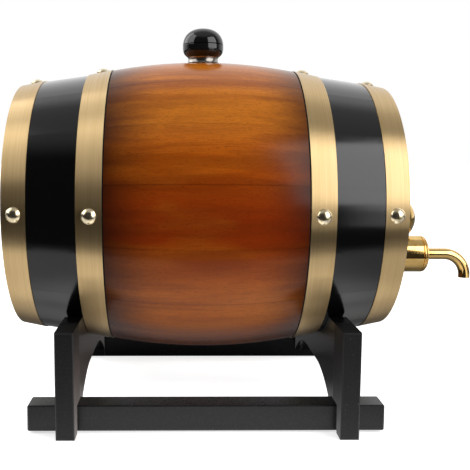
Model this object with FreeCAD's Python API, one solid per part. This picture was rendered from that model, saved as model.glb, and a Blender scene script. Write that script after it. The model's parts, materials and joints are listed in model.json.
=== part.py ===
"""Oak cask liquor dispenser: a five litre stave cask on a two board cradle, with a ball
bung on top and a quarter turn tap in the front head.

Millimetres. X runs along the cask towards the tap, Z is up. Everything is modelled about
the middle of the cask's axis and moved to the frame's origin, on the floor under the
middle of the whole object, when it is saved.
"""
import FreeCAD, Part
import math
import os

Vector = FreeCAD.Vector
ALONG = Vector(1, 0, 0)
ACROSS = Vector(0, 1, 0)
UP = Vector(0, 0, 1)
CENTRE = Vector(0, 0, 0)

# Cask
cask_length = 261.4
belly_radius = 105.0
quarter_inner_drop = 6.05
quarter_outer_drop = 9.6
chime_inner_drop = 14.3
chime_end_drop = 17.55
stave_count = 16
stave_belly_thickness = 11.0
stave_end_thickness = 10.5
stave_joint = 0.06
chime_bevel = 3.5
croze_depth = 3.4

# Hoops and their dome nails
chime_hoop_width = 16.2
band_width = 32.1
quarter_hoop_width = 17.0
hoop_thickness = 0.9
hoop_rebate = 0.4
hoop_clearance = 0.05
nails_per_hoop = 4
nail_head_radius = 5.1
nail_head_height = 3.0
nail_shank_side = 2.0
nail_length = 7.5
nail_clearance = 0.05
nail_seat = 0.1

# Heads
head_recess = 11.7
head_thickness = 9.0
head_tongue = 4.5
head_bevel_run = 6.0
head_boards = 3
head_clearance = 0.05

# Bung
bung_hole_radius = 10.0
bung_clearance = 0.3
bung_ball_radius = 15.0
bung_ball_rise = 14.3
bung_ball_foot = 7.4
bung_ball_sink = 11.1
bung_seam_above = 1.3
bung_seam_width = 0.6
bung_seam_depth = 0.9
bung_spigot_length = 3.5
bung_collar_radius = 11.5
bung_collar_height = 4.0
bung_stem_radius = 4.5
bung_stopper_length = 24.0
bung_stopper_taper = 1.4
bung_ribs = 3
bung_rib_height = 0.7
bung_rib_width = 2.2
bung_washer_radius = 6.5
bung_washer_height = 1.6

# Tap
tap_below_axis = 36.9
tap_radius = 13.8
tap_length = 45.3
tap_bore_radius = 3.0
tap_gasket_radius = 12.6
tap_gasket_thickness = 2.0
shank_radius = 6.0
shank_clearance = 0.3
shank_past_nut = 4.0
nut_across_flats = 19.0
nut_thickness = 6.0
nose_seam = 1.6
nose_seam_depth = 0.5
nose_dome_length = 4.0
nose_land_radius = 4.6
nose_spigot_radius = 8.0
nose_spigot_length = 5.0
spout_radius = 4.2
spout_wall = 1.0
spout_straight = 13.95
spout_bend_radius = 16.3
spout_drop = 1.85
spout_socket = 7.0
tap_fit = 0.05

# Valve in the tap
valve_past_face = 23.3
plug_radius = 6.5
plug_depth = 8.5
plug_fit = 0.05
port_radius = 2.6
stem_radius = 3.4
seal_section = 0.9
seal_offset = 5.4
seal_fit = 0.03
bonnet_radius = 9.0
bonnet_depth = 4.5
bonnet_top = 14.4
boss_radius = 10.4
knob_radius = 17.5
knob_centre_above = 27.35
knob_gap = 0.3
knob_socket_depth = 11.0

# Stand
stand_half_width = 107.5
board_thickness = 12.0
board_gap_front = 3.1
board_gap_rear = 0.4
cradle_clearance = 0.3
cradle_web = 17.7
horn_rise = 23.9
arch_flat_half = 20.0
arch_crown = 27.9
arch_haunch_radius = 90.0
board_edge_bevel = 0.8
rail_length = 231.8
rail_offset = 0.9
rail_depth = 18.0
rail_height = 17.2
rail_outer_face = 94.9
rail_above_floor = 1.4
rail_edge_bevel = 0.8
notch_clearance = 0.2
screw_radius = 1.8
screw_head_radius = 3.6
screw_head_height = 2.2
screw_length = 34.0
screw_clearance = 0.05

# Stations along the cask, from the middle
x_end = cask_length / 2
x_chime = x_end - chime_hoop_width
x_quarter_out = x_chime - band_width
x_quarter_in = x_quarter_out - quarter_hoop_width
r_end = belly_radius - chime_end_drop
r_chime = belly_radius - chime_inner_drop
r_quarter_out = belly_radius - quarter_outer_drop
r_quarter_in = belly_radius - quarter_inner_drop
r_inner_end = r_end - stave_end_thickness
r_inner_belly = belly_radius - stave_belly_thickness
stave_angle = 360.0 / stave_count

# The head's planes and the groove that holds it
x_head_out = x_end - head_recess
x_head_in = x_head_out - head_thickness
x_head_mid = (x_head_out + x_head_in) / 2

# The tap's stations
z_tap = -tap_below_axis
x_tap_face = x_head_out + tap_gasket_thickness
x_nose = x_tap_face + tap_length
x_nose_end = x_nose + nose_seam + nose_dome_length
x_bend = x_nose_end + spout_straight
x_spout_tip = x_bend + spout_bend_radius
z_spout_tip = z_tap - spout_bend_radius - spout_drop
x_valve = x_tap_face + valve_past_face
x_gasket_in = x_head_in - tap_gasket_thickness
x_nut_in = x_gasket_in - nut_thickness
x_shank_end = x_nut_in - shank_past_nut

# The stand's stations
x_board_front = x_quarter_out + board_gap_front + board_thickness / 2
x_board_rear = -(x_quarter_out + board_gap_rear + board_thickness / 2)
z_cradle = -(r_quarter_out + cradle_clearance)
z_horn = z_cradle + horn_rise
z_crown = z_cradle - cradle_web
z_floor = z_crown - arch_crown
z_rail_top = z_floor + rail_above_floor + rail_height

# The origin is on the floor under the middle of the whole length
x_middle = (x_spout_tip + spout_radius - x_end) / 2
to_frame = Vector(-x_middle, 0, -z_floor)


def closed_face(edges):
    """Face inside a closed chain of edges."""
    return Part.Face(Part.Wire(Part.__sortEdges__(edges)))


def lines(points):
    """Straight edges through the points, in order."""
    return [Part.LineSegment(a, b).toShape() for a, b in zip(points, points[1:])]


def arc(a, b, c):
    """Circular edge from a through b to c."""
    return Part.Arc(a, b, c).toShape()


def polygon_face(points):
    """Face inside straight edges."""
    return closed_face(lines(points + points[:1]))


def along_x(pairs):
    """Profile points for a piece turned about the X axis, given as (x, radius)."""
    return [Vector(x, 0, r) for x, r in pairs]


def upright(pairs):
    """Profile points for a piece turned about the Z axis, given as (radius, z)."""
    return [Vector(r, 0, z) for r, z in pairs]


def turned(face, axis, angle=360.0):
    """Solid of revolution of a face."""
    return face.revolve(CENTRE, axis, angle)


def rod(radius, start, end):
    """Solid cylinder between two points."""
    way = end - start
    return Part.makeCylinder(radius, way.Length, start, way)


def ring(inner, outer, start, end):
    """Washer or sleeve between two points."""
    return rod(outer, start, end).cut(rod(inner, start, end))


def save(name, shape):
    """Write one sub-part, moved to the frame's origin."""
    placed = shape.copy()
    placed.translate(to_frame)
    placed.exportStep("parts/" + name + ".step")
    print(name, "solids", len(placed.Solids), "valid", placed.isValid())


def wood_radius(x):
    """Outside of the wood between the belly and the end, outside the hoop rebates."""
    stations = [(x_quarter_in, r_quarter_in), (x_quarter_out, r_quarter_out),
                (x_chime, r_chime), (x_end, r_end)]
    for (xa, ra), (xb, rb) in zip(stations, stations[1:]):
        if x <= xb:
            return ra + (rb - ra) * (x - xa) / (xb - xa)
    return r_end


def inner_radius(x):
    """Inside of the staves, one arc from end to end."""
    rise = r_inner_belly - r_inner_end
    bow = (x_end ** 2 + rise ** 2) / (2 * rise)
    return r_inner_belly - bow + math.sqrt(bow ** 2 - x ** 2)


def half_outline():
    """Outside of a stave from the belly to the tap end, with both hoop rebates."""
    return [(x_quarter_in, r_quarter_in),
            (x_quarter_in, r_quarter_in - hoop_rebate),
            (x_quarter_out, r_quarter_out - hoop_rebate),
            (x_quarter_out, r_quarter_out),
            (x_chime, r_chime),
            (x_chime, r_chime - hoop_rebate),
            (x_end, r_end - hoop_rebate),
            (x_end, r_inner_end + chime_bevel),
            (x_end - chime_bevel, inner_radius(x_end - chime_bevel))]


def croze(side):
    """Groove that the head's tongue sits in, from the outer lip to the inner one."""
    half = head_tongue / 2 + head_clearance
    floor = inner_radius(x_head_mid) + croze_depth
    outer, inner = x_head_mid + half, x_head_mid - half
    path = [(outer, inner_radius(outer)), (outer, floor), (inner, floor),
            (inner, inner_radius(inner))]
    return along_x([(side * x, r) for x, r in path])


def inner_arc(xa, xb):
    """Stretch of the staves' inside between two stations."""
    xm = (xa + xb) / 2
    a, m, b = along_x([(x, inner_radius(x)) for x in (xa, xm, xb)])
    return arc(a, m, b)


def stave_face():
    """Section of a stave along its length, at the top of the cask."""
    front = along_x(half_outline())
    rear = along_x([(-x, r) for x, r in half_outline()])
    belly = arc(rear[0], Vector(0, 0, belly_radius), front[0])
    front_croze, rear_croze = croze(1), croze(-1)
    edges = [belly] + lines(front) + lines(rear) + lines(front_croze) + lines(rear_croze)
    edges.append(inner_arc(front[-1].x, front_croze[0].x))
    edges.append(inner_arc(front_croze[-1].x, rear_croze[-1].x))
    edges.append(inner_arc(rear_croze[0].x, rear[-1].x))
    return closed_face(edges)


def hoop_middles():
    """Each hoop's name with the station of its nails."""
    quarter = (x_quarter_in + x_quarter_out) / 2
    chime = (x_chime + x_end) / 2
    return [("chime_front", chime), ("quarter_front", quarter),
            ("quarter_rear", -quarter), ("chime_rear", -chime)]


def hoop_slope(x):
    """Fall of the wood per millimetre under the hoop at a station."""
    if abs(x) > x_chime:
        return (r_chime - r_end) / chime_hoop_width
    return (r_quarter_in - r_quarter_out) / quarter_hoop_width


def hoop_surface(x):
    """Radius of a hoop's outside at a station."""
    return wood_radius(abs(x)) - hoop_rebate + hoop_clearance + hoop_thickness


def nail_frame(shape, x, angle):
    """Stand a nail, made upright at the origin, on the hoop at a station and an angle."""
    placed = shape.copy()
    lean = math.degrees(math.atan(hoop_slope(x))) * math.copysign(1, x)
    placed.rotate(CENTRE, ACROSS, lean)
    placed.translate(Vector(x, 0, hoop_surface(x)))
    placed.rotate(CENTRE, ALONG, angle)
    return placed


def nail_angles():
    """Angles of the nails about the cask, from the top."""
    return [n * 360.0 / nails_per_hoop for n in range(nails_per_hoop)]


def nail_shank(clearance=0.0):
    """Square shank of a nail, or with a clearance the hole that takes it."""
    side = nail_shank_side + 2 * clearance
    depth = nail_length + clearance
    return Part.makeBox(side, side, depth + nail_seat, Vector(-side / 2, -side / 2, -depth))


def make_staves():
    """Staves as sectors of one turned section, the top one bored for the bung."""
    gap = math.degrees(stave_joint / belly_radius)
    sector = stave_angle - gap
    section = stave_face()
    section.rotate(CENTRE, ALONG, -sector / 2)
    blank = turned(section, ALONG, sector)
    drill = nail_shank(nail_clearance)
    bung_hole = rod(bung_hole_radius, CENTRE, Vector(0, 0, belly_radius * 2))
    staves = []
    for n in range(stave_count):
        angle = n * stave_angle
        stave = blank.copy()
        stave.rotate(CENTRE, ALONG, angle)
        holes = [nail_frame(drill, x, a) for name, x in hoop_middles()
                 for a in nail_angles() if abs(a - angle) < stave_angle / 2]
        if n == 0:
            holes.append(bung_hole)
        if holes:
            stave = stave.cut(holes)
        staves.append(stave)
    return staves


def make_head(side):
    """One head as boards across it, their rim bevelled to a tongue for the croze."""
    rim = inner_radius(x_head_mid) + croze_depth - head_clearance
    shoulder = inner_radius(x_head_out) - head_clearance * 4
    half, tongue = head_thickness / 2, head_tongue / 2
    outline = [(half, 0), (half, shoulder - head_bevel_run), (tongue, shoulder), (tongue, rim),
               (-tongue, rim), (-tongue, shoulder), (-half, shoulder - head_bevel_run),
               (-half, 0)]
    points = along_x([(side * (x_head_mid + x), r) for x, r in outline])
    disc = turned(polygon_face(points), ALONG)
    if side > 0:
        disc = disc.cut(rod(shank_radius + shank_clearance, Vector(x_head_in - 1, 0, z_tap),
                            Vector(x_head_out + 1, 0, z_tap)))
    board = 2 * rim / head_boards
    boards = []
    for n in range(head_boards):
        left = -rim + n * board + stave_joint / 2
        cutter = Part.makeBox(head_thickness * 2, board - stave_joint, rim * 2,
                              Vector(side * x_head_mid - head_thickness, left, -rim))
        boards.append(disc.common(cutter))
    return boards


def make_hoop(name):
    """Conical band in its rebate, punched for its nails."""
    side = 1 if "front" in name else -1
    if "chime" in name:
        xa, xb = x_chime + hoop_clearance, x_end
    else:
        xa, xb = x_quarter_in + hoop_clearance, x_quarter_out - hoop_clearance
    inside = [(x, hoop_surface(x) - hoop_thickness) for x in (xa, xb)]
    outside = [(x, hoop_surface(x)) for x in (xb, xa)]
    points = along_x([(side * x, r) for x, r in inside + outside])
    band = turned(polygon_face(points), ALONG)
    punch = nail_shank(nail_clearance)
    x = dict(hoop_middles())[name]
    return band.cut([nail_frame(punch, x, a) for a in nail_angles()])


def make_nails(name):
    """Dome headed nails of one hoop."""
    rise = nail_head_height - nail_seat
    bow = (nail_head_radius ** 2 + rise ** 2) / (2 * rise)
    ball = Part.makeSphere(bow, Vector(0, 0, nail_head_height - bow))
    dome = ball.common(rod(bow * 1.1, Vector(0, 0, nail_seat), Vector(0, 0, bow * 2)))
    nail = dome.fuse(nail_shank()).removeSplitter()
    x = dict(hoop_middles())[name]
    return Part.makeCompound([nail_frame(nail, x, a) for a in nail_angles()])


def ellipse_point(radius, rise, height):
    """Radius of a flattened ball at a height above its equator."""
    return radius * math.sqrt(1 - (height / rise) ** 2)


z_collar = belly_radius + bung_clearance
z_ball_foot = z_collar + bung_collar_height
z_ball = z_ball_foot + bung_ball_foot
z_seam = z_ball + bung_seam_above


def make_bung_cap():
    """Upper half of the bung's ball, flattened on top, with a spigot into the base."""
    bottom = bung_seam_above + bung_seam_width
    top = Vector(0, 0, z_ball + bung_ball_rise)
    high = bung_ball_rise * 0.8
    mid = Vector(ellipse_point(bung_ball_radius, bung_ball_rise, high), 0, z_ball + high)
    low = bung_ball_rise * 0.5
    lower_mid = Vector(ellipse_point(bung_ball_radius, bung_ball_rise, low), 0, z_ball + low)
    rim = Vector(ellipse_point(bung_ball_radius, bung_ball_rise, bottom), 0, z_ball + bottom)
    curve = Part.BSplineCurve()
    curve.interpolate([top, mid, lower_mid, rim],
                      InitialTangent=Vector(1, 0, 0), FinalTangent=Vector(0.06, 0, -1))
    spigot = bung_ball_radius - bung_seam_depth - 1.0
    rest = [rim, Vector(spigot, 0, rim.z), Vector(spigot, 0, z_seam - bung_spigot_length),
            Vector(0, 0, z_seam - bung_spigot_length), top]
    return turned(closed_face([curve.toShape()] + lines(rest)), UP)


def make_bung_base():
    """Lower half of the ball, squashed towards its foot, with the stem for the stopper."""
    socket = bung_ball_radius - bung_seam_depth - 1.0 + tap_fit
    floor = z_seam - bung_spigot_length - tap_fit
    top_r = ellipse_point(bung_ball_radius, bung_ball_radius, bung_seam_above)
    foot_r = ellipse_point(bung_ball_radius, bung_ball_sink, bung_ball_foot)
    mid_h = -bung_ball_foot / 2
    a = Vector(top_r, 0, z_seam)
    m = Vector(ellipse_point(bung_ball_radius, bung_ball_sink, mid_h), 0, z_ball + mid_h)
    b = Vector(foot_r, 0, z_ball_foot)
    z_stem = z_collar - bung_stopper_length
    rest = [b, Vector(bung_stem_radius, 0, z_ball_foot), Vector(bung_stem_radius, 0, z_stem),
            Vector(0, 0, z_stem), Vector(0, 0, floor), Vector(socket, 0, floor),
            Vector(socket, 0, z_seam), a]
    base = turned(closed_face([arc(a, m, b)] + lines(rest)), UP)
    return base.cut(rod(screw_radius, Vector(0, 0, z_stem), Vector(0, 0, z_stem + 10)))


def make_bung_collar():
    """Bright ring between the ball and the cask, waisted at the middle."""
    z_low, z_high = z_collar, z_ball_foot
    waist = Vector(bung_collar_radius - 0.5, 0, (z_low + z_high) / 2)
    low, high = Vector(bung_collar_radius, 0, z_low), Vector(bung_collar_radius, 0, z_high)
    inner = upright([(bung_collar_radius, z_high), (bung_stem_radius + tap_fit, z_high),
                     (bung_stem_radius + tap_fit, z_low), (bung_collar_radius, z_low)])
    return turned(closed_face([arc(low, waist, high)] + lines(inner)), UP)


def make_bung_stopper():
    """Tapered silicone sleeve on the stem, with sealing ribs that fill the hole."""
    rib_r = bung_hole_radius - bung_clearance
    core = rib_r - bung_rib_height
    z_top, z_bottom = z_collar, z_collar - bung_stopper_length
    bore = bung_stem_radius + tap_fit
    sleeve = turned(polygon_face(upright([(bore, z_top), (core, z_top),
                                          (core - bung_stopper_taper, z_bottom),
                                          (bore, z_bottom)])), UP)
    step = (bung_stopper_length - bung_rib_width) / bung_ribs
    for n in range(bung_ribs):
        z = z_top - bung_rib_width - n * step
        tip = rib_r - bung_stopper_taper * (z_top - z) / bung_stopper_length
        root = core - bung_stopper_taper
        lip = polygon_face(upright([(root, z + bung_rib_width / 2), (tip, z),
                                    (root, z - bung_rib_width / 2)]))
        sleeve = sleeve.fuse(turned(lip, UP))
    return sleeve.removeSplitter()


def make_bung_screw():
    """Flat headed screw under the stopper, into the stem."""
    z_stem = z_collar - bung_stopper_length
    head = rod(bung_washer_radius, Vector(0, 0, z_stem - bung_washer_height),
               Vector(0, 0, z_stem))
    shank = rod(screw_radius - screw_clearance, Vector(0, 0, z_stem), Vector(0, 0, z_stem + 9))
    slot = Part.makeBox(bung_washer_radius * 3, 1.2, bung_washer_height / 2,
                        Vector(-bung_washer_radius * 1.5, -0.6, z_stem - bung_washer_height))
    return head.fuse(shank).removeSplitter().cut(slot)


def lowered(shape):
    """Move a piece made about the cask's axis down to the tap's axis."""
    shape.translate(Vector(0, 0, z_tap))
    return shape


def make_tap_body():
    """Barrel of the tap with its threaded shank, boss, plug chamber and waterway."""
    edge = 0.6
    body = turned(polygon_face(along_x([
        (x_shank_end, 0), (x_shank_end, shank_radius - edge), (x_shank_end + edge, shank_radius),
        (x_tap_face, shank_radius), (x_tap_face, tap_radius - edge),
        (x_tap_face + edge, tap_radius), (x_nose, tap_radius), (x_nose, 0)])), ALONG)
    boss = rod(boss_radius, Vector(x_valve, 0, 0), Vector(x_valve, 0, bonnet_top))
    body = body.fuse(boss)
    waterway = rod(tap_bore_radius, Vector(x_shank_end - 1, 0, 0), Vector(x_nose + 1, 0, 0))
    chamber = rod(plug_radius + plug_fit, Vector(x_valve, 0, -plug_depth - plug_fit),
                  Vector(x_valve, 0, bonnet_top + 1))
    gland = rod(bonnet_radius + tap_fit, Vector(x_valve, 0, bonnet_top - bonnet_depth),
                Vector(x_valve, 0, bonnet_top + 1))
    socket = rod(nose_spigot_radius + tap_fit, Vector(x_nose - nose_spigot_length - tap_fit, 0, 0),
                 Vector(x_nose + 1, 0, 0))
    return lowered(body.cut([waterway, chamber, gland, socket]))


def make_tap_nose():
    """Domed nose screwed into the barrel, with a turned seam behind the dome."""
    x_dome = x_nose + nose_seam
    land = nose_land_radius
    half_way = x_dome + nose_dome_length * 0.72
    mid_r = land + (tap_radius - land) * 0.62
    shoulder = Vector(x_dome, 0, tap_radius)
    crown = Vector(x_nose_end, 0, land)
    dome = arc(shoulder, Vector(half_way, 0, mid_r), crown)
    seam = nose_seam / 2
    rest = along_x([
        (x_nose_end, land), (x_nose_end, 0), (x_nose - nose_spigot_length, 0),
        (x_nose - nose_spigot_length, nose_spigot_radius), (x_nose, nose_spigot_radius),
        (x_nose, tap_radius - nose_seam_depth), (x_nose + seam, tap_radius - nose_seam_depth),
        (x_nose + seam, tap_radius), (x_dome, tap_radius)])
    nose = turned(closed_face([dome] + lines(rest)), ALONG)
    waterway = rod(tap_bore_radius, Vector(x_nose - nose_spigot_length - 1, 0, 0),
                   Vector(x_nose_end, 0, 0))
    socket = rod(spout_radius + tap_fit, Vector(x_nose_end - spout_socket - tap_fit, 0, 0),
                 Vector(x_nose_end + 1, 0, 0))
    return lowered(nose.cut([waterway, socket]))


def spout_pipe(radius):
    """Round bar along the spout's path: straight, a quarter bend and a short drop."""
    start = Vector(x_nose_end - spout_socket, 0, 0)
    straight = rod(radius, start, Vector(x_bend, 0, 0))
    disc = Part.Face(Part.Wire(Part.makeCircle(radius, Vector(x_bend, 0, 0), ALONG)))
    bend = disc.revolve(Vector(x_bend, 0, -spout_bend_radius), ACROSS, 90)
    bottom = Vector(x_spout_tip, 0, -spout_bend_radius)
    drop = rod(radius, bottom, bottom - UP * spout_drop)
    return straight.fuse([bend, drop]).removeSplitter()


def make_spout():
    """Bent tube, open from the nose to its tip."""
    return lowered(spout_pipe(spout_radius).cut(spout_pipe(spout_radius - spout_wall)))


def make_tap_nut():
    """Hexagon nut on the shank inside the cask."""
    corner = nut_across_flats / math.sqrt(3)
    points = [Vector(x_nut_in, corner * math.cos(math.radians(60 * n)),
                     corner * math.sin(math.radians(60 * n))) for n in range(6)]
    hexagon = polygon_face(points).extrude(ALONG * nut_thickness)
    bore = rod(shank_radius + tap_fit, Vector(x_nut_in - 1, 0, 0), Vector(x_gasket_in + 1, 0, 0))
    return lowered(hexagon.cut(bore))


def make_gasket(xa, xb):
    """Rubber washer on the shank between two faces."""
    washer = ring(shank_radius + tap_fit, tap_gasket_radius, Vector(xa, 0, 0), Vector(xb, 0, 0))
    return lowered(washer)


def make_valve_plug():
    """Turning plug with its cross bore and stem; closed, the bore lies across the tap."""
    z_shoulder = bonnet_top - bonnet_depth - plug_fit
    z_top = knob_centre_above - knob_radius * 0.72 + knob_socket_depth
    plug = turned(polygon_face(upright([
        (0, -plug_depth), (plug_radius, -plug_depth), (plug_radius, z_shoulder),
        (stem_radius, z_shoulder), (stem_radius, z_top), (0, z_top)])), UP)
    for z in (-seal_offset, seal_offset):
        groove = ring(plug_radius - 2 * seal_section, plug_radius + 1,
                      Vector(0, 0, z - seal_section), Vector(0, 0, z + seal_section))
        plug = plug.cut(groove)
    port = rod(port_radius, Vector(0, -plug_radius - 1, 0), Vector(0, plug_radius + 1, 0))
    plug = plug.cut(port)
    plug.translate(Vector(x_valve, 0, 0))
    return lowered(plug)


def make_valve_seals():
    """Square section seal rings in the plug's grooves, above and below the port."""
    half = seal_section - seal_fit
    inner = plug_radius - 2 * seal_section + seal_fit
    seals = [ring(inner, plug_radius, Vector(x_valve, 0, z - half), Vector(x_valve, 0, z + half))
             for z in (-seal_offset, seal_offset)]
    return lowered(Part.makeCompound(seals))


def make_bonnet():
    """Gland ring that keeps the plug in its chamber."""
    z_low = bonnet_top - bonnet_depth
    bonnet = ring(stem_radius + plug_fit, bonnet_radius, Vector(x_valve, 0, z_low),
                  Vector(x_valve, 0, bonnet_top))
    slot = Part.makeBox(bonnet_radius * 3, 1.6, 1.2,
                        Vector(x_valve - bonnet_radius * 1.5, -0.8, bonnet_top - 1.2))
    return lowered(bonnet.cut(slot))


def make_knob():
    """Ball knob on the stem, cut flat just above the bonnet."""
    ball = Part.makeSphere(knob_radius, Vector(x_valve, 0, knob_centre_above))
    floor = bonnet_top + knob_gap
    below = Part.makeBox(knob_radius * 4, knob_radius * 4, knob_radius * 4,
                         Vector(x_valve - knob_radius * 2, -knob_radius * 2,
                                floor - knob_radius * 4))
    z_top = knob_centre_above - knob_radius * 0.72 + knob_socket_depth
    socket = rod(stem_radius + tap_fit, Vector(x_valve, 0, floor - 1),
                 Vector(x_valve, 0, z_top + tap_fit))
    return lowered(ball.cut([below, socket]))


def board_middle(side):
    """Place of a board's middle plane along the cask."""
    return x_board_front if side > 0 else x_board_rear


def make_cradle(side):
    """End board: cradle and flat horns above, arch and rail notches below."""
    inner_face = abs(board_middle(side)) - board_thickness / 2
    cradle_radius = wood_radius(inner_face) + cradle_clearance
    y_horn = math.sqrt(cradle_radius ** 2 - z_horn ** 2)
    notch_in = rail_outer_face - rail_depth - notch_clearance
    notch_out = rail_outer_face + notch_clearance
    notch_top = z_rail_top + notch_clearance
    sweep = math.asin((notch_in - arch_flat_half) / arch_haunch_radius)

    def on_haunch(s, turn):
        """Point of the arch's haunch at an angle from its flat crown."""
        return Vector(0, s * (arch_flat_half + arch_haunch_radius * math.sin(turn)),
                      z_crown - arch_haunch_radius * (1 - math.cos(turn)))

    edges = [arc(Vector(0, -y_horn, z_horn), Vector(0, 0, -cradle_radius),
                 Vector(0, y_horn, z_horn))]
    for s in (1, -1):
        z_meet = on_haunch(s, sweep).z
        edges += lines([Vector(0, s * y, z) for y, z in (
            (y_horn, z_horn), (stand_half_width, z_horn), (stand_half_width, z_floor),
            (notch_out, z_floor), (notch_out, notch_top), (notch_in, notch_top),
            (notch_in, z_meet))])
        edges.append(arc(on_haunch(s, sweep), on_haunch(s, sweep / 2), on_haunch(s, 0)))
    edges += lines([on_haunch(-1, 0), on_haunch(1, 0)])
    board = closed_face(edges).extrude(ALONG * board_thickness)
    board.translate(ALONG * (board_middle(side) - board_thickness / 2))
    outer = [e for e in board.Edges if abs(abs(e.CenterOfMass.y) - stand_half_width) < 0.01
             and e.Length > board_edge_bevel]
    board = board.makeChamfer(board_edge_bevel, outer)
    return board.cut([screw_hole(side, s) for s in (1, -1)])


def rail_middle():
    """Distance of a rail's centre line from the cask's axis, across."""
    return rail_outer_face - rail_depth / 2


def screw_foot(side, hand):
    """Underside of the rail at one crossing of rail and board."""
    return Vector(board_middle(side), hand * rail_middle(), z_floor + rail_above_floor)


def screw_hole(side, hand):
    """Pilot hole for one screw through the rail and into the board."""
    foot = screw_foot(side, hand)
    return rod(screw_radius + screw_clearance, foot, foot + UP * (screw_length + 0.5))


def make_rail(hand):
    """Square rail with eased edges and countersunk screw holes underneath."""
    low = Vector(rail_offset - rail_length / 2, hand * rail_middle() - rail_depth / 2,
                 z_floor + rail_above_floor)
    rail = Part.makeBox(rail_length, rail_depth, rail_height, low)
    rail = rail.makeChamfer(rail_edge_bevel, rail.Edges)
    for side in (1, -1):
        foot = screw_foot(side, hand)
        sink = Part.makeCone(screw_head_radius + screw_clearance, screw_radius,
                             screw_head_height, foot, UP)
        rail = rail.cut([sink, screw_hole(side, hand)])
    return rail


def make_screws():
    """Countersunk screws that hold the rails up in the boards' notches."""
    screws = []
    for side in (1, -1):
        for hand in (1, -1):
            foot = screw_foot(side, hand)
            head = Part.makeCone(screw_head_radius, screw_radius - screw_clearance,
                                 screw_head_height, foot, UP)
            shank = rod(screw_radius, foot + UP * 0.5, foot + UP * screw_length)
            screws.append(head.fuse(shank).removeSplitter())
    return Part.makeCompound(screws)


os.makedirs("parts", exist_ok=True)

for number, stave in enumerate(make_staves(), 1):
    save("stave_%02d" % number, stave)
for end, side in (("front", 1), ("rear", -1)):
    for number, board in enumerate(make_head(side), 1):
        save("head_%s_board_%d" % (end, number), board)
for name, x in hoop_middles():
    save("hoop_" + name, make_hoop(name))
    save("nails_" + name, make_nails(name))

save("bung_ball_cap", make_bung_cap())
save("bung_ball_base", make_bung_base())
save("bung_collar", make_bung_collar())
save("bung_stopper", make_bung_stopper())
save("bung_screw", make_bung_screw())

save("tap_body", make_tap_body())
save("tap_nose", make_tap_nose())
save("tap_spout", make_spout())
save("tap_gasket_outer", make_gasket(x_head_out, x_tap_face))
save("tap_gasket_inner", make_gasket(x_gasket_in, x_head_in))
save("tap_nut", make_tap_nut())
save("valve_bonnet", make_bonnet())
save("valve_plug", make_valve_plug())
save("valve_seals", make_valve_seals())
save("valve_knob", make_knob())

save("cradle_front", make_cradle(1))
save("cradle_rear", make_cradle(-1))
save("rail_near", make_rail(-1))
save("rail_far", make_rail(1))
save("rail_screws", make_screws())
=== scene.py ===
# %% [markdown]
# A small hooped wooden cask, with a ball topped bung and a gold tap, lies on a black cradle. The
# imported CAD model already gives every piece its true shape, size and place, and says which
# pieces move together. So this file adds what the eye needs: finishes, a few finer shapes, a
# floor, light and a camera. Lengths are written in millimetres and turned into metres by MM.

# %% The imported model
import bpy
import json
import math
from mathutils import Matrix, Vector


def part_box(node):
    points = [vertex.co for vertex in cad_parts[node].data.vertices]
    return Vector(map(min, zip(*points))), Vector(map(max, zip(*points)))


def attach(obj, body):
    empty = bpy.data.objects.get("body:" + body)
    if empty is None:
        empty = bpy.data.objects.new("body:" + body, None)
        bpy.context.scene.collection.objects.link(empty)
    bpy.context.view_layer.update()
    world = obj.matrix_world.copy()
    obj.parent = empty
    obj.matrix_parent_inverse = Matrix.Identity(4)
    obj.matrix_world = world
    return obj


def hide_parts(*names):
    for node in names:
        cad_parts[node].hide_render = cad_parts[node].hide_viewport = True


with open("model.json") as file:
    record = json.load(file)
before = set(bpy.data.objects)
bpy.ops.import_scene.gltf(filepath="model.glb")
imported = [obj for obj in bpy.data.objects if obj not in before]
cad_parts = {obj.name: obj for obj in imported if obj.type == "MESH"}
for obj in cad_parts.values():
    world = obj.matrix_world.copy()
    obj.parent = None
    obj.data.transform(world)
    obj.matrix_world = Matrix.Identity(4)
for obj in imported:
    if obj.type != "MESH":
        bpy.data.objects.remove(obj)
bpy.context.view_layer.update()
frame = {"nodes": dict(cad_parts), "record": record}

MM = 0.001
nodes = frame["nodes"]
print("pieces from the CAD model:", len(nodes))

# %% [markdown]
# A finish in Blender is a small network of nodes that ends in a Principled shader. It could be
# drawn by hand in the Shader Editor, but written out it can be read and repeated. Colours are
# picked on a screen as sRGB hex codes, while nodes work in linear light, so one function turns
# the one into the other. One more adds a node of any kind: a socket that is handed to it gets
# linked, anything else becomes the value of that input, and it gives back the node's output.

# %% Colours and nodes
def colour(code):
    """Linear RGBA of an sRGB hex colour."""
    parts = [int(code[i:i + 2], 16) / 255 for i in (1, 3, 5)]
    return [p / 12.92 if p <= 0.04045 else ((p + 0.055) / 1.055) ** 2.4 for p in parts] + [1.0]


def connect(tree, node, inputs):
    """Links the sockets among the inputs, and sets the others as values."""
    for key, value in inputs.items():
        if isinstance(value, bpy.types.NodeSocket):
            tree.links.new(value, node.inputs[key])
        else:
            node.inputs[key].default_value = value


def add(tree, kind, inputs=(), output=0, **settings):
    """Adds a node and returns one output. Inputs are a list in order, or go by name."""
    node = tree.nodes.new("ShaderNode" + kind)
    for key, value in settings.items():
        setattr(node, key, value)
    connect(tree, node, inputs if isinstance(inputs, dict) else dict(enumerate(inputs)))
    return node.outputs[output]


def finish_of(name):
    """New material with its node tree and its Principled shader."""
    material = bpy.data.materials.new(name)
    material.use_nodes = True
    tree = material.node_tree
    return material, tree, tree.nodes["Principled BSDF"]


print("white as linear light:", colour("#FFFFFF"))

# %% [markdown]
# Every finish on the cask needs to know where it is: how far along, how far round and how deep.
# An unwrapped UV map could say that, but it would have to be made for each of the 16 staves. A
# cask is turned about one axis, so the place is worked out from that axis instead, and it is
# true for all pieces at once. The hoops give the axis, so nothing is measured twice.

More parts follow.
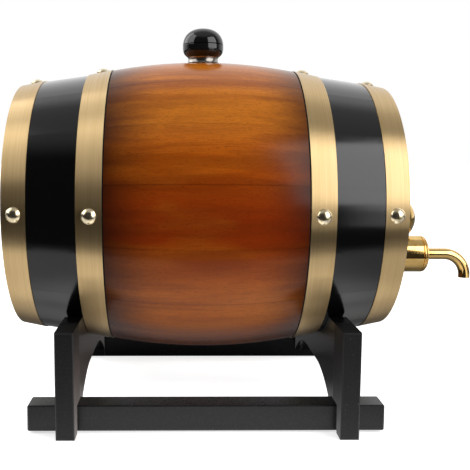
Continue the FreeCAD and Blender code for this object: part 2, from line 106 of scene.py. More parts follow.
# %% The cask's axis and stations
STAVES = 16
quarter_low, quarter_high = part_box("hoop_quarter_front")
rear_low, rear_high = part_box("hoop_quarter_rear")
axis_x = (quarter_high[0] + rear_low[0]) / 2
axis_z = (quarter_low[2] + quarter_high[2]) / 2
belly = (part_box("stave_01")[1][2] - axis_z) / MM
hoop_inner = (quarter_low[0] - axis_x) / MM


def cask_place(tree):
    """Sockets of the place on the cask: mm along, the angle from the top, mm from the axis."""
    here = add(tree, "TexCoord", output="Object")
    moved = add(tree, "Mapping", {
        "Vector": here, "Location": [-axis_x / MM, 0, -axis_z / MM], "Scale": [1 / MM] * 3})
    along, across, height = add(tree, "SeparateXYZ", [moved]).node.outputs
    angle = add(tree, "Math", [across, height], operation="ARCTAN2")
    across_squared = add(tree, "Math", [across, across], operation="MULTIPLY")
    height_squared = add(tree, "Math", [height, height], operation="MULTIPLY")
    square = add(tree, "Math", [across_squared, height_squared], operation="ADD")
    return along, angle, add(tree, "Math", [square], operation="SQRT")


print("axis height mm", round(axis_z / MM, 1), "belly radius mm", round(belly, 1))
print("quarter hoops start at mm", round(hoop_inner, 1), "from the middle")

# %% [markdown]
# Wood grain, brush marks and specks of paint are all noise, drawn out to different lengths. The
# first function makes such streaks from three real sizes in millimetres. Stain, dirt and wear
# are then a second colour that is taken up where the streaks are strong, so the other function
# fades from one colour to the next between two levels of the noise, which runs from about 0.3
# to 0.7. A smooth step is used for each fade, because a straight one leaves a visible edge.

# %% Streaks and tints
SMOOTH = {"interpolation_type": "SMOOTHSTEP"}
TWO_COLOURS = {"data_type": "RGBA", "output": 2}


def streaks(tree, place, sizes_mm, detail=3.0, roughness=0.55):
    """Noise whose cells have those three sizes."""
    scaled = [add(tree, "Math", [way, size], operation="DIVIDE")
              for way, size in zip(place, sizes_mm)]
    vector = add(tree, "CombineXYZ", scaled)
    return add(tree, "TexNoise", {"Vector": vector, "Scale": 1.0, "Detail": detail,
                                  "Roughness": roughness}, output="Fac")


def tint(tree, under, over, pattern, low, high, strength=1.0):
    """The colour under, with over taken up as the pattern goes from low to high."""
    taken_up = add(tree, "MapRange", [pattern, low, high, 0.0, strength], **SMOOTH)
    return add(tree, "Mix", {0: taken_up, 6: under, 7: over}, **TWO_COLOURS)


print("streaks and tints are ready")

# %% [markdown]
# The staves are planed oak. Its pores are 0.2 mm wide and a few millimetres long, too fine for
# this picture, so they are drawn 0.6 mm wide. The grain lines run along the stave, the figure
# is as long as the stave, and paler sapwood and darker heartwood come in broad patches. An image
# of wood would have to be wrapped round the cask and would stretch. Streaks that are drawn out
# along the staves follow the wood by themselves.

# %% Oak grain
oak, tree, shader = finish_of("oak_spray_stained_and_gloss_lacquered")
along, angle, depth = cask_place(tree)
round_mm = add(tree, "Math", [angle, belly], operation="MULTIPLY")
place = (along, round_mm, depth)
figure = streaks(tree, place, (260, 11, 11), 2.0, 0.4)
grain = streaks(tree, place, (14, 0.8, 0.8), 3.0, 0.6)
pores = streaks(tree, place, (2.6, 0.6, 0.6), 1.0)
sapwood = streaks(tree, place, (75, 20, 20), 2.0, 0.5)
other_place = add(tree, "Math", [along, 400], operation="ADD")
heartwood = streaks(tree, (other_place, round_mm, depth), (120, 9, 9), 2.0, 0.5)
print("oak grain:", len(tree.nodes), "shader nodes")

# %% [markdown]
# Each stave is cut from another board, so each has its own tone, and where two of them meet the
# lacquer sinks into a fine dark line. The angle round the cask, counted in staves, gives both:
# its nearest whole number names the stave, and what is left over says how near the joint is.

# %% Stave tones and joints
in_staves = add(tree, "Math", [angle, math.tau / STAVES], operation="DIVIDE")
stave_number = add(tree, "Math", [in_staves], operation="ROUND")
stave_tone = add(tree, "TexWhiteNoise", {"W": stave_number}, "Value", noise_dimensions="1D")
# Whole turns are added first, so that the left over part is never negative.
counted = add(tree, "Math", [in_staves, 2 * STAVES + 0.5], operation="ADD")
left_over = add(tree, "Math", [counted], operation="FRACT")
off_centre = add(tree, "Math", [left_over, 0.5], operation="SUBTRACT")
off_centre = add(tree, "Math", [off_centre], operation="ABSOLUTE")
near_joint = add(tree, "MapRange", [off_centre, 0.475, 0.496], **SMOOTH)
broken_up = add(tree, "MapRange", [figure, 0.3, 0.6], **SMOOTH)
joint = add(tree, "Math", [near_joint, broken_up], operation="MULTIPLY")
joint = add(tree, "Math", [joint, 0.22], operation="MULTIPLY")
print("stave width at the belly mm:", round(math.tau * belly / STAVES, 1))

# %% [markdown]
# The stain goes on in coats by the angle from the top: golden at the top, redder on the flank,
# golden again below and almost black underneath. These coats are painted light and shade over
# the stain: the golden top and lower band stand for light from above and from the floor, the red
# flank and the black underside for shade. A last dark coat fades in towards the hoops, which is
# called a sunburst. Between them the wood's own streaks show through. So the colour is built one
# tint over the last, each with the pattern that it follows.

# %% Oak stain and painted shading
from_top = add(tree, "Math", [angle], operation="ABSOLUTE")
burst_centre = 1.5
from_middle = add(tree, "Math", [along, burst_centre], operation="SUBTRACT")
from_middle = add(tree, "Math", [from_middle], operation="ABSOLUTE")
ragged = add(tree, "Math", [figure, 9.0], operation="MULTIPLY")
to_hoops = add(tree, "Math", [from_middle, ragged], operation="ADD")

stain_and_painted_shading = colour("#D27A1C")
# Painted light and shade by angle: golden at the top and below where light falls, red on the
# flank.
for code, start, end in (("#C9600F", 50, 74), ("#9C360A", 66, 92), ("#D0701A", 96, 124)):
    stain_and_painted_shading = tint(tree, stain_and_painted_shading, colour(code), from_top, math.radians(start), math.radians(end))
for code, pattern, low, high, strength in (
        ("#CE7A22", sapwood, 0.44, 0.64, 0.30), ("#6A240A", heartwood, 0.46, 0.66, 0.36),
        ("#8E3A0C", figure, 0.38, 0.66, 0.30), ("#7A300A", grain, 0.42, 0.68, 0.26),
        ("#5A2208", pores, 0.55, 0.72, 0.34)):
    stain_and_painted_shading = tint(tree, stain_and_painted_shading, colour(code), pattern, low, high, strength)
stain_and_painted_shading = add(tree, "Mix", {0: joint, 6: stain_and_painted_shading, 7: colour("#4A1806")}, **TWO_COLOURS)
stain_and_painted_shading = tint(tree, stain_and_painted_shading, colour("#86360C"), stave_tone, 0.0, 1.0, 0.20)
stain_and_painted_shading = tint(tree, stain_and_painted_shading, colour("#30140A"), to_hoops, 32, 82)
# Painted shade: the underside fades almost to black.
stain_and_painted_shading = tint(tree, stain_and_painted_shading, colour("#3A1407"), from_top, math.radians(126), math.radians(156), 0.85)
print("oak stain:", len(tree.nodes), "shader nodes")

# %% [markdown]
# Between the hoops of each pair the same staves are painted black. The black starts 0.9 mm before
# the inner hoop, as a thin matte line of painted shadow from the gap under the hoop's edge. The
# paint could be a second material on its own faces, but the edge isn't an edge of the mesh, so the
# distance from the middle decides. The depth from the axis does the same for the bare wood inside,
# which shows through the bung hole.

# %% Black bands and bare inside
from_centre = add(tree, "Math", [along], operation="ABSOLUTE")
# The black starts 0.9 mm before the hoop: a thin line of painted shadow from the gap under its
# edge.
black_paint_and_gap_shadow = add(tree, "MapRange", [from_centre, hoop_inner - 0.95, hoop_inner - 0.85], **SMOOTH)
polished = add(tree, "MapRange", [from_centre, hoop_inner + 2.0, hoop_inner + 2.1], **SMOOTH)
gap_shadow_line = add(tree, "Math", [black_paint_and_gap_shadow, polished], operation="SUBTRACT")
skin = add(tree, "Mix", {0: black_paint_and_gap_shadow, 6: stain_and_painted_shading, 7: colour("#070708")}, **TWO_COLOURS)
bare = tint(tree, colour("#C99A63"), colour("#8E6030"), grain, 0.35, 0.7, 0.6)

depth_in_wall, bilge_curve = 9.5, 0.00102
along_squared = add(tree, "Math", [along, along], operation="MULTIPLY")
bilge = add(tree, "Math", [along_squared, bilge_curve], operation="MULTIPLY")
mid_wall = add(tree, "Math", [belly - depth_in_wall, bilge], operation="SUBTRACT")
outside = add(tree, "Math", [depth, mid_wall], operation="GREATER_THAN")
skin = add(tree, "Mix", {0: outside, 6: bare, 7: skin}, **TWO_COLOURS)
print("black from mm", round(hoop_inner, 1), "outwards")

# %% [markdown]
# Clear lacquer gives the wood a soft satin gloss and the black bands a harder one, so the bands
# get a coat on top. Sprayed lacquer isn't flat: it follows the grain a little and has a fine
# orange peel, and the bands keep the faint rings of the lathe. That relief is only hundredths of
# a millimetre deep, so it is a bump in the shader and not geometry. It breaks up the edge of
# each highlight, which is what the eye reads as lacquer.

# %% Lacquer
rough = add(tree, "Math", [polished, 0.07], operation="MULTIPLY")
rough = add(tree, "Math", [0.19, rough], operation="SUBTRACT")
# The painted shadow line is matte, so it takes no sheen.
gap_shadow_rough = add(tree, "Math", [gap_shadow_line, 0.5], operation="MULTIPLY")
rough = add(tree, "Math", [rough, gap_shadow_rough], operation="ADD")
inside = add(tree, "Math", [1.0, outside], operation="SUBTRACT")
inside_rough = add(tree, "Math", [inside, 0.35], operation="MULTIPLY")
rough = add(tree, "Math", [rough, inside_rough], operation="ADD")
orange_peel = streaks(tree, place, (5, 4, 4), 2.0)
lathe_rings = streaks(tree, place, (0.9, 30, 30), 2.0, 0.6)
lathe_rings = add(tree, "Math", [lathe_rings, polished], operation="MULTIPLY")
lathe_rings = add(tree, "Math", [lathe_rings, 2.4], operation="MULTIPLY")
relief = add(tree, "Math", [grain, 0.2], operation="MULTIPLY")
relief = add(tree, "Math", [relief, orange_peel], operation="ADD")
relief = add(tree, "Math", [relief, lathe_rings], operation="ADD")
connect(tree, shader, {
    "Base Color": skin,
    "Roughness": rough,
    "IOR": 1.5,
    "Specular IOR Level": 0.19,
    "Coat Weight": add(tree, "Math", [polished, 0.72], operation="MULTIPLY"),
    "Coat Roughness": 0.15,
    "Normal": add(tree, "Bump", {"Height": relief, "Distance": 0.02 * MM, "Strength": 0.5})})
print("lacquered oak:", len(tree.nodes), "shader nodes")

# %% [markdown]
# The heads are flat boards of the same oak, clear lacquered, which gives a warm sheen over the
# bare grain. Their grain runs straight up and down, so the streaks are drawn out along the
# height. Towards the hoop the spray from the outside has darkened them.

# %% Oak heads
head_oak, tree, shader = finish_of("oak_boards_clear_lacquered")
along, angle, depth = cask_place(tree)
across = add(tree, "Math", [angle], operation="SINE")
across = add(tree, "Math", [depth, across], operation="MULTIPLY")
height = add(tree, "Math", [angle], operation="COSINE")
height = add(tree, "Math", [depth, height], operation="MULTIPLY")
grain = streaks(tree, (across, height, along), (1.1, 40, 1.1), 4.0, 0.6)
figure = streaks(tree, (across, height, along), (9, 130, 9), 3.0)
wood = tint(tree, colour("#B8702B"), colour("#8A4816"), figure, 0.38, 0.64, 0.6)
wood = tint(tree, wood, colour("#5C2C0E"), grain, 0.42, 0.68, 0.5)
wood = tint(tree, wood, colour("#2E150B"), depth, 45, 84)
connect(tree, shader, {
    "Base Color": wood,
    "Roughness": 0.18,
    "IOR": 1.5,
    "Normal": add(tree, "Bump", {"Height": grain, "Distance": 0.02 * MM, "Strength": 0.5})})
print("heads:", len(tree.nodes), "shader nodes")

# %% [markdown]
# The hoops are brass plated steel strip, brushed along its length, which on a hoop is round the
# cask. Brushing leaves many fine scratches side by side, so a highlight spreads across them into
# a soft bar. Real scratches are about 0.05 mm wide and wouldn't show, so they are drawn 0.16 mm
# wide. They change the roughness and relief more than the colour. The spread itself is the
# shader's anisotropy, and the tangent says which way the scratches run.

# %% Brushed brass
brass, tree, shader = finish_of("brass_plated_strip_brushed_round_the_hoop")
along, angle, depth = cask_place(tree)
round_mm = add(tree, "Math", [angle, belly], operation="MULTIPLY")
scratches = streaks(tree, (along, round_mm, depth), (0.16, 90, 40), 3.0, 0.7)
worn_bands = streaks(tree, (along, round_mm, depth), (0.7, 160, 60), 2.0)
metal = tint(tree, colour("#DABF91"), colour("#CBAB76"), scratches, 0.3, 0.72)
metal = tint(tree, metal, colour("#B08E5A"), worn_bands, 0.35, 0.7, 0.14)
connect(tree, shader, {
    "Base Color": metal,
    "Roughness": add(tree, "MapRange", [scratches, 0.3, 0.75, 0.32, 0.41], **SMOOTH),
    "Metallic": 1.0,
    "Anisotropic": 0.93,
    "Anisotropic Rotation": 0.25,
    "Tangent": add(tree, "Tangent", direction_type="RADIAL", axis="X"),
    "Normal": add(tree, "Bump", {"Height": scratches, "Distance": 0.01 * MM, "Strength": 0.5})})
print("hoops:", len(tree.nodes), "shader nodes")

# %% [markdown]
# The small parts have simple finishes, but none is quite even: plating, moulding and handling
# leave patches of another colour and gloss. One function makes them all from two close colours,
# a range of roughness, the size of the patches and the depth of the relief. A metal gets its
# look from its colour and roughness, so it keeps the IOR that the shader starts with.

# %% A plain finish
def plain(name, main, second, rough, patch_mm, relief_mm=0.0, metallic=0.0):
    """Finish with two close colours, and a roughness that varies over patches of that size."""
    material, tree, shader = finish_of(name)
    here = add(tree, "TexCoord", output="Object")
    patches = add(tree, "TexNoise", {
        "Vector": here, "Scale": 1 / (patch_mm * MM), "Detail": 3.0}, output="Fac")
    connect(tree, shader, {
        "Base Color": tint(tree, colour(main), colour(second), patches, 0.35, 0.68),
        "Roughness": add(tree, "MapRange", [patches, 0.3, 0.7, *rough], **SMOOTH),
        "Metallic": metallic})
    if not metallic:
        connect(tree, shader, {"IOR": 1.5})
    if relief_mm:
        connect(tree, shader, {"Normal": add(tree, "Bump", {
            "Height": patches, "Distance": relief_mm * MM, "Strength": 0.6})})
    return material


print("one function for the plain finishes")

# %% [markdown]
# Each finish here is named for what the real piece is made of and how its surface was made. The
# numbers are the two colours, the roughness from smooth to rough patches, the patch size, the
# depth of the relief, and 1 for a metal.

# %% Metals
# Pressed and tumbled: pale, with a soft round highlight.
nail_brass = plain("brass_nail_polished", "#ECDFC2", "#DECBA2", (0.19, 0.27), 2, 0.0, 1.0)
# Cast zinc under bright plating: a mirror that turns what it shows golden.
gold = plain("zinc_tap_gold_plated", "#F1CB83", "#E3BA6C", (0.05, 0.10), 6, 0.0, 1.0)
# Turned bar left bare on the hidden side of the tap: duller, with fine tool marks.
raw_brass = plain("brass_turned", "#C9A35C", "#B08A48", (0.22, 0.34), 3, 0.004, 1.0)
# Thin chrome that has been handled: grey, with blurred reflections.
chrome = plain("steel_collar_chrome_plated", "#A39E98", "#8C8781", (0.16, 0.26), 4, 0.0, 1.0)
# Plated screws: cool grey and slightly satin.
steel = plain("steel_screw_zinc_plated", "#B4B6B8", "#989A9C", (0.25, 0.4), 2, 0.004, 1.0)
print("metals: 5")

# %% [markdown]
# The others are moulded plastics and rubbers. Their colour comes from within, so they keep a
# plain white gloss whose sharpness shows how well the mould was polished.

# %% Plastics and rubbers
# Moulded in a mirror polished mould: black glass to the eye, with sharp highlights.
black = plain("phenolic_ball_moulded_gloss_black", "#121212", "#171717", (0.04, 0.08), 5)
# Seals and gaskets: soot black and matte.
rubber = plain("nitrile_rubber_moulded", "#141414", "#1C1C1C", (0.55, 0.7), 2, 0.01)
# The stopper: milky, with a broad soft sheen.
silicone = plain("silicone_moulded_clear_white", "#D8D8D2", "#C8C8C0", (0.4, 0.55), 3, 0.01)
print("plastics and rubbers: 3")

# %% [markdown]
# The cradle is solid wood under matte black paint. The paint hides the colour of the wood but
# not its texture, so there are two reliefs: long soft ridges up the boards, and specks of paint
# about a millimetre wide. The ends of the boards were sawn and not sanded. There the relief is
# stronger, the gloss weaker, and a few tips are light grey.

# %% Painted wood: where the sawn ends are
paint, tree, shader = finish_of("wood_sawn_and_painted_matte_black")
here = add(tree, "TexCoord", output="Object")
in_mm = [add(tree, "Math", [way, 1 / MM], operation="MULTIPLY")
         for way in add(tree, "SeparateXYZ", [here]).node.outputs]
board_faces = [[corner[0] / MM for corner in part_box(name)]
               for name in ("cradle_rear", "cradle_front")]
from_boards = []
for back, front in board_faces:
    off_board = add(tree, "Math", [in_mm[0], (back + front) / 2], operation="SUBTRACT")
    from_boards.append(add(tree, "Math", [off_board], operation="ABSOLUTE"))
off_board = add(tree, "Math", from_boards, operation="MINIMUM")
half_board = (board_faces[0][1] - board_faces[0][0]) / 2
within = add(tree, "MapRange", [off_board, half_board, half_board + 0.4, 1.0, 0.0], **SMOOTH)
to_the_side = add(tree, "Math", [in_mm[1]], operation="ABSOLUTE")
at_end = add(tree, "MapRange", [to_the_side, 80, 82], **SMOOTH)
sawn = add(tree, "Math", [at_end, within], operation="MULTIPLY")
print("boards mm:", [[round(x, 1) for x in faces] for faces in board_faces])

# %% [markdown]
# On the inner face of the rear board a brown-grey sheen is painted into the colour, a painted
# reflection that grows brighter towards the foot. The face is found by its place along X, as the
# ends were.

# %% Painted wood: colour
specks = streaks(tree, in_mm, (0.9, 0.9, 0.9), 2.0, 0.7)
tips = streaks(tree, in_mm, (1.0, 1.0, 1.0), 1.0)
shade = tint(tree, colour("#09090A"), colour("#151517"), specks, 0.45, 0.75, 0.7)
# Painted reflection: a brown-grey sheen low on the inner face of the rear board.
low_down = add(tree, "MapRange", [in_mm[2], 32, 72, 1.0, 0.0], **SMOOTH)
off_face = add(tree, "Math", [in_mm[0], board_faces[0][1]], operation="SUBTRACT")
off_face = add(tree, "Math", [off_face], operation="ABSOLUTE")
on_face = add(tree, "Math", [off_face, 0.2], operation="LESS_THAN")
painted_sheen = add(tree, "Math", [low_down, on_face], operation="MULTIPLY")
shade = add(tree, "Mix", {0: painted_sheen, 6: shade, 7: colour("#4E4541")}, **TWO_COLOURS)
# A few tips of the sawn ends are light grey.
grey_tips = add(tree, "MapRange", [tips, 0.77, 0.79], **SMOOTH)
grey_tips = add(tree, "Math", [grey_tips, sawn], operation="MULTIPLY")
shade = add(tree, "Mix", {0: grey_tips, 6: shade, 7: colour("#77777A")}, **TWO_COLOURS)
print("paint colour:", len(tree.nodes), "shader nodes")

# %% [markdown]
# The gloss and the relief both follow the sawn ends. The relief is a tenth of a millimetre deep,
# which is still too fine to be worth modelling, so it is a bump as well.

# %% Painted wood: gloss and relief
rough = add(tree, "MapRange", [specks, 0.3, 0.7, 0.34, 0.26], **SMOOTH)
sawn_rough = add(tree, "Math", [sawn, 0.2], operation="MULTIPLY")
rough = add(tree, "Math", [rough, sawn_rough], operation="ADD")
ridges = streaks(tree, in_mm, (14, 14, 1.6), 3.0)
relief = add(tree, "Math", [ridges, 0.7], operation="MULTIPLY")
relief = add(tree, "Math", [relief, specks], operation="ADD")
deeper = add(tree, "Math", [sawn, 2.2], operation="MULTIPLY")
deeper = add(tree, "Math", [deeper, 0.35], operation="ADD")
relief = add(tree, "Math", [relief, deeper], operation="MULTIPLY")
connect(tree, shader, {
    "Base Color": shade,
    "Roughness": rough,
    "IOR": 1.5,
    "Specular IOR Level": 0.36,
    "Normal": add(tree, "Bump", {"Height": relief, "Distance": 0.12 * MM, "Strength": 0.6})})
print("painted wood:", len(tree.nodes), "shader nodes")

# %% [markdown]
# The record of the CAD model says which finish each piece should have. So the finishes go on by
# that name, and a piece can't be forgotten.

# %% Finishes onto the pieces
by_slot = {"lacquered_oak": oak, "head_oak": head_oak, "brushed_brass": brass,
           "polished_brass": nail_brass, "gold_plate": gold, "plain_brass": raw_brass,
           "seal_rubber": rubber, "black_gloss": black, "bright_chrome": chrome,
           "silicone": silicone, "steel": steel, "black_paint": paint}
slot_of = {part["node"]: part["material_slot"] for part in frame["record"]["subparts"]}
for name, piece in nodes.items():
    piece.data.materials.clear()
    piece.data.materials.append(by_slot[slot_of[name]])
print("finished:", len(nodes))

# %% [markdown]
# A few small round pieces are remade finer than in the CAD model. All were turned or pressed
# round, so each is a profile spun about an axis. Blender's Screw modifier could spin it, but a
# short function gives the points themselves, which are then easy to move onto a sloping hoop.

# %% Turning a profile
def turned(profile, sides):
    """Points and faces of a profile of (radius, height) pairs turned about its own Z axis.

    The first and the last ring are closed by a flat face each.
    """
    rows = [[Vector((r * math.cos(math.tau * k / sides), r * math.sin(math.tau * k / sides), h))
             for k in range(sides)] for r, h in profile]
    faces = [(i * sides + k, i * sides + (k + 1) % sides,
              (i + 1) * sides + (k + 1) % sides, (i + 1) * sides + k)
             for i in range(len(rows) - 1) for k in range(sides)]
    last = (len(rows) - 1) * sides
    faces += [tuple(reversed(range(sides))), tuple(range(last, last + sides))]
    return [point for row in rows for point in row], faces


def place_piece(name, points, faces, material, node, body):
    """Smooth piece in metres that rides on a body in the place of a CAD node."""
    mesh = bpy.data.meshes.new(name)
    mesh.from_pydata(points, [], faces)
    mesh.shade_smooth()
    mesh.materials.append(material)
    piece = bpy.data.objects.new(name, mesh)
    bpy.context.collection.objects.link(piece)
    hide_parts(node)
    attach(piece, body)


print("ready to turn")

# %% [markdown]
# The nails are pressed from sheet brass: a round dome that ends in a thin flat rim, which
# catches a fine ring of light. The rim is only a third of a millimetre high, so the profile is
# written out in full, in millimetres from the seat of the head: shank, rim, then the dome as
# part of a sphere.

# %% Profile of a nail
head, rim, crown = 5.1, 0.35, 2.8
dome_radius, shank, length = 4.85, 1.0, 7.5
point, edge, bevel = 0.02, 0.1, 0.08
sphere = (dome_radius ** 2 + (crown - rim) ** 2) / (2 * (crown - rim))
dome_rings = 14
radii = [dome_radius * math.cos(math.pi / 2 * n / dome_rings) for n in range(dome_rings)]
dome = [(r, crown - sphere + math.sqrt(sphere ** 2 - r ** 2)) for r in radii + [point]]
nail = [(point, -length), (shank, -length), (shank, -edge), (head, 0.0), (head, rim - edge),
        (head - bevel, rim), (dome_radius + 0.03, rim)] + dome
print("nail: head mm", 2 * head, "sphere radius mm", round(sphere, 1))

# %% [markdown]
# Each hoop has four nails, a quarter turn apart, and stands at its own slope. The CAD nail at
# the top gives both its place and its slope, from its highest point and the lowest four. The
# other three are that one turned about the cask's axis.

# %% Nail heads
NAILS = 4
centre_line = Vector((0, 0, axis_z))
nail_points, nail_faces = turned(nail, 40)
for name in [n for n in nodes if n.startswith("nails_")]:
    top_nail = [v.co.copy() for v in nodes[name].data.vertices if v.co.z > axis_z + 60 * MM]
    tip = max(top_nail, key=lambda v: v.z)
    lowest = sorted(top_nail, key=lambda v: v.z)[:4]
    foot = sum(lowest, Vector()) / len(lowest)
    slope = Matrix.Rotation(math.atan2(tip.x - foot.x, tip.z - foot.z), 4, "Y")
    seat = tip - slope @ Vector((0, 0, crown * MM))
    at_top = [slope @ (p * MM) + seat for p in nail_points]
    points, faces = [], []
    for number in range(NAILS):
        turn = Matrix.Rotation(math.tau * number / NAILS, 4, "X")
        faces += [tuple(i + len(points) for i in face) for face in nail_faces]
        points += [turn @ (p - centre_line) + centre_line for p in at_top]
    place_piece(name + "_domed", points, faces, nail_brass, name, "cask")
    print(name, "nails:", NAILS)

# %% [markdown]
# The bung's ball is moulded in two halves with a fine gap between them, which shows as a dark
# line. It isn't a true sphere: its shoulders are fuller, as on a square with round corners. A
# circle is a curve with the power 2, and a power a little over 2 gives that fuller outline. Each
# half has its own curve, with flat faces at the gap. Close pairs of rings beside the gap keep
# its edges crisp, because smooth shading rounds an edge over the distance to the next ring.

# %% Outline of the ball
BALL = 15.0
foot_radius, foot_depth = 10.9, 7.4
seam_low, seam_high, gap_floor = 1.3, 1.9, 14.0


def bulge(height, reach, power):
    """Radius of the ball at a height, for that reach and fullness."""
    return BALL * max(0.0, 1 - abs(height / reach) ** power) ** (1 / power)


cap_reach, cap_power, cap_rings = 13.5, 2.33, 22
heights = [seam_high, seam_high + 0.04, seam_high + 0.3]
heights += [seam_high + (cap_reach - seam_high) * math.sin(math.pi / 2 * n / cap_rings)
            for n in range(2, cap_rings + 1)]
cap = [(gap_floor, seam_high), (BALL - 0.15, seam_high)]
cap += [(max(0.02, bulge(h, cap_reach, cap_power)), h) for h in heights]

base_reach, base_power, base_rings = 9.05, 2.8, 16
heights = [-foot_depth * (1 - n / base_rings) for n in range(base_rings)]
base = [(foot_radius, -foot_depth)]
base += [(bulge(h, base_reach, base_power), h) for h in heights]
base += [(BALL, 0.0), (BALL, seam_low - 0.3), (BALL, seam_low - 0.04), (BALL - 0.03, seam_low),
         (BALL - 0.2, seam_low), (gap_floor, seam_low), (gap_floor, seam_high)]
print("ball: rings", len(cap), "and", len(base))

# %% [markdown]
# Both halves are turned about the bung's own axis. The CAD cap's box says where that is, and how
# high: the ball's middle lies a known rise below the top of the box. The halves ride on the
# bung, so they come out with it.

# %% Ball of the bung
rise = 14.3
cap_low, cap_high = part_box("bung_ball_cap")
bung_x, middle = (cap_low[0] + cap_high[0]) / 2, cap_high[2] / MM - rise
for name, profile in (("bung_ball_cap", cap), ("bung_ball_base", base)):
    points, faces = turned(profile, 96)
    points = [Vector((p.x * MM + bung_x, p.y * MM, (p.z + middle) * MM)) for p in points]
    place_piece(name + "_full", points, faces, black, name, "bung")
print("ball: 2 halves about mm", round(middle, 1))

# %% [markdown]
# The end of the tap is a turned cap with three fine grooves round its dome, where the gold
# catches thin lines of light and dark. Its outline is an elliptic dome from the barrel down to
# the spout, less a V for each groove, so one function gives the radius at any place and the
# profile is that function, read at even steps.

# %% Nose of the tap
nose_low, nose_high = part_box("tap_nose")
tap_radius = (nose_high[2] - nose_low[2]) / 2
tap_axis_z = (nose_high[2] + nose_low[2]) / 2
spigot, land = 5.0 * MM, 4.7 * MM
inside_barrel, round_pipe = 6.0 * MM, 4.3 * MM
seam_x = nose_low[0] + spigot
nose_length = nose_high[0] - seam_x
straight, fullness = 0.22 * nose_length, 2.3
groove_depth, groove_half_width, grooves = 0.7 * MM, 0.09, (0.06, 0.40, 0.62)


def nose_radius(x):
    """Radius at a distance past the barrel."""
    bow = max(0.0, (x - straight) / (nose_length - straight))
    smooth = land + (tap_radius - land) * math.sqrt(max(0.0, 1 - bow ** fullness))
    cut = sum(groove_depth * max(0.0, 1 - abs(x / nose_length - place) / groove_half_width)
              for place in grooves)
    return smooth - cut


NOSE_STEPS = 60
stations = [nose_length * n / NOSE_STEPS for n in range(NOSE_STEPS + 1)]
profile = [(inside_barrel, 0.0)] + [(nose_radius(x), x) for x in stations]
profile.append((round_pipe, nose_length))
points, faces = turned(profile, 96)
points = [Vector((seam_x + p.z, p.y, tap_axis_z - p.x)) for p in points]
place_piece("tap_nose_turned", points, faces, gold, "tap_nose", "cask")
print("nose:", len(points), "points")

# %% [markdown]
# The object stands on a sheet of white paper that ends about 13 cm in front of it, as the
# photographer's did: halfway down, the black bands and the hoops reflect the dark room, and
# further down the sheet. A big plane with its front edge there does that. It isn't part of the
# object.

# %% Floor
front_edge, sheet_side = -240 * MM, 8.0
bpy.ops.mesh.primitive_plane_add(size=sheet_side, location=(0, front_edge + sheet_side / 2, 0))
floor = bpy.context.object
floor.name = "floor"
sheet, tree, shader = finish_of("paper_backdrop_matte_white")
floor.data.materials.append(sheet)
here = add(tree, "TexCoord", output="Object")
x, y, _ = add(tree, "SeparateXYZ", [here]).node.outputs
path = add(tree, "LightPath").node.outputs
under_axis = -floor.location.y
away = add(tree, "VectorMath", {0: here, 1: (-0.03, under_axis, 0)}, "Value", operation="DISTANCE")
print("floor starts at mm", round(front_edge / MM))

# %% [markdown]
# The paper is nearly white. Beyond the tap it is painted grey, a painted shade that keeps dark
# lines in the gold, and mirrors see it grey from under the cask on, where the cask shades it. A
# Light Path node tells a mirror's rays from the others. Each change fades over a few centimetres,
# so no edge shows.

# %% Colour of the paper, with painted shade
past_tap = add(tree, "MapRange", [x, 0.09, 0.16], **SMOOTH)
# Painted shade: the paper beyond the tap is grey, so the gold shows dark lines.
paper_and_painted_shade = add(tree, "Mix", {0: past_tap, 6: colour("#F4F4F4"), 7: colour("#C0C0C0")}, **TWO_COLOURS)
under_cask = add(tree, "MapRange", [y, under_axis - 0.07, under_axis + 0.02], **SMOOTH)
shaded = add(tree, "Math", [path["Is Glossy Ray"], under_cask], operation="MULTIPLY")
paper_and_painted_shade = add(tree, "Mix", {0: shaded, 6: paper_and_painted_shade, 7: colour("#6C6C6C")}, **TWO_COLOURS)
connect(tree, shader, {
    "Base Color": paper_and_painted_shade, "Roughness": 0.9, "Emission Color": (1, 1, 1, 1)})
print("paper:", len(tree.nodes), "shader nodes")

# %% [markdown]
# Paper in a studio is lit from all round and passes that light on. Here a weak glow near the
# cask does that for its underside, and mirrors see the near half as bright as the photographer's
# lit sheet. The camera sees the sheet lifted to white, except close to the object, where its
# shadow stays. The rails would show twice in the lower hoops, as two dark lines that the
# photograph doesn't have, so they are left out of mirror images.

# %% Brightness of the paper
near_half = add(tree, "MapRange", [y, under_axis - 0.085, under_axis - 0.045, 1.0, 0.0], **SMOOTH)
lit_sheet = add(tree, "MapRange", [away, 0.12, 0.22, 0.95, 0.0], **SMOOTH)
lit_sheet = add(tree, "Math", [path["Is Glossy Ray"], lit_sheet], operation="MULTIPLY")
lit_sheet = add(tree, "Math", [lit_sheet, near_half], operation="MULTIPLY")
passed_on = add(tree, "MapRange", [away, 0.05, 0.24, 0.35, 0.0], **SMOOTH)
glow = add(tree, "Math", [lit_sheet, passed_on], operation="MAXIMUM")
in_front = add(tree, "MapRange", [y, under_axis - 0.04, under_axis + 0.02, 1.0, 0.0], **SMOOTH)
glow = add(tree, "Math", [glow, in_front], operation="MULTIPLY")

far_half = add(tree, "Math", [1.0, near_half], operation="SUBTRACT")
far_half = add(tree, "Math", [far_half, 0.8], operation="MULTIPLY")
far_off = add(tree, "MapRange", [away, 0.25, 0.8, 0.45, 1.0], **SMOOTH)
lift = add(tree, "Math", [past_tap, far_half], operation="MAXIMUM")
lift = add(tree, "Math", [lift, far_off], operation="MAXIMUM")
lift = add(tree, "Math", [path["Is Camera Ray"], lift], operation="MULTIPLY")
connect(tree, shader, {
    "Emission Strength": add(tree, "Math", [glow, lift], operation="ADD")})
for name in ("rail_near", "rail_far"):
    nodes[name].visible_glossy = False
print("floor:", len(tree.nodes), "shader nodes")

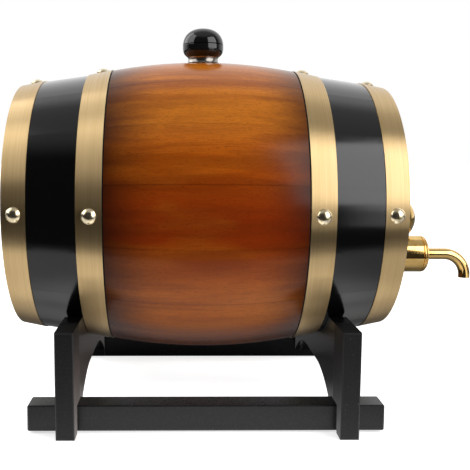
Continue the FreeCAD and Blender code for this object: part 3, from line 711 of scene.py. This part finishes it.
# %% [markdown]
# The sharp bright patch on the right black band is the reflection of a tall soft box, and its
# top edge shows how high the box stands. Below it the light falls off in two steps, as it does
# at the foot of a real one. Two more on the left stand further round and give the thin bright
# edges there. Nothing lights the front, which is why the lacquer keeps its deep colour.

# %% Soft boxes
def soft_box(name, azimuth, width, bottom, top, watts):
    """Upright area light, in metres, at an azimuth from the camera's side to the right."""
    distance = 0.95
    lamp = bpy.data.lights.new(name, "AREA")
    lamp.shape = "RECTANGLE"
    lamp.size, lamp.size_y = width, top - bottom
    lamp.energy = watts
    box = bpy.data.objects.new(name, lamp)
    turn = math.radians(azimuth)
    way = Vector((math.sin(turn), -math.cos(turn), 0))
    box.location = Vector((axis_x, 0, (bottom + top) / 2)) + way * distance
    box.rotation_euler = way.to_track_quat("Z", "Y").to_euler()
    bpy.context.collection.objects.link(box)


soft_boxes = (("soft_box_right", 54, 0.92, 0.22, 1.27, 10.2),
              ("soft_box_right_middle", 49, 0.56, 0.14, 0.22, 0.32),
              ("soft_box_right_foot", 49, 0.56, -0.06, 0.14, 0.42),
              ("soft_box_left", -76, 0.62, 0.40, 1.70, 6.4),
              ("soft_box_far_left", -115, 0.62, 0.40, 1.70, 5.0))
for row in soft_boxes:
    soft_box(*row)
print("soft boxes:", len(soft_boxes))

# %% [markdown]
# Behind the cask hangs a white backdrop, and on the camera's side the room is dark, with a dim
# ceiling. The world could be one grey, but then metal would look like paint: it is the change
# from white to dark that makes brass read as metal. So the world's strength follows the
# direction, and the camera sees it white all round. Standard keeps colours as they are written.

# %% The room
bpy.context.scene.view_settings.view_transform = "Standard"
world = bpy.data.worlds.new("studio")
bpy.context.scene.world = world
world.use_nodes = True
tree = world.node_tree
way = add(tree, "TexCoord", output="Generated")
_, backwards, upwards = add(tree, "SeparateXYZ", [way]).node.outputs
path = add(tree, "LightPath").node.outputs
backdrop = add(tree, "MapRange", [backwards, -0.05, 0.45, 0.03, 1.0], **SMOOTH)
in_mirrors = add(tree, "MapRange", [backwards, 0.1, 0.4], **SMOOTH)
in_mirrors = add(tree, "Math", [path["Is Glossy Ray"], in_mirrors], operation="MULTIPLY")
ceiling = add(tree, "MapRange", [upwards, 0.62, 0.92, 0.0, 0.45], **SMOOTH)
seen = add(tree, "Math", [path["Is Camera Ray"], path["Is Transmission Ray"]],
           operation="MAXIMUM")
level = backdrop
for part in (in_mirrors, ceiling, seen):
    level = add(tree, "Math", [level, part], operation="MAXIMUM")
connect(tree, tree.nodes["Background"], {"Strength": level, "Color": (1, 1, 1, 1)})
print("room:", len(tree.nodes), "shader nodes")

# %% [markdown]
# The camera's place and lens were worked out from the hoops: each hoop edge is a circle of known
# size, so its ellipse in the photograph says where the camera stood. It looks a little down and
# a little to the right, and the picture is shifted because the photograph was cropped.

# %% Camera
camera = bpy.data.cameras.new("camera")
camera.lens, camera.sensor_width = 55.78, 36.0
camera.shift_x, camera.shift_y = 0.0861, -0.01036
camera.clip_start = 0.01
camera_place = Vector((-54.6, -550.1, 183.5)) * MM
pan, tilt, roll = (math.radians(a) for a in (1.16, 6.37, 0.29))
forward = Vector((math.sin(pan) * math.cos(tilt), math.cos(pan) * math.cos(tilt),
                  -math.sin(tilt)))
right = Vector((math.cos(pan), -math.sin(pan), 0))
up = right.cross(forward)
rolled_right = math.cos(roll) * right + math.sin(roll) * up
rolled_up = math.cos(roll) * up - math.sin(roll) * right
eye = bpy.data.objects.new("camera", camera)
eye.matrix_world = Matrix.Translation(camera_place) @ Matrix(
    (rolled_right, rolled_up, -forward)).transposed().to_4x4()
bpy.context.collection.objects.link(eye)
bpy.context.scene.camera = eye
print("camera at mm", [round(c / MM) for c in eye.location])
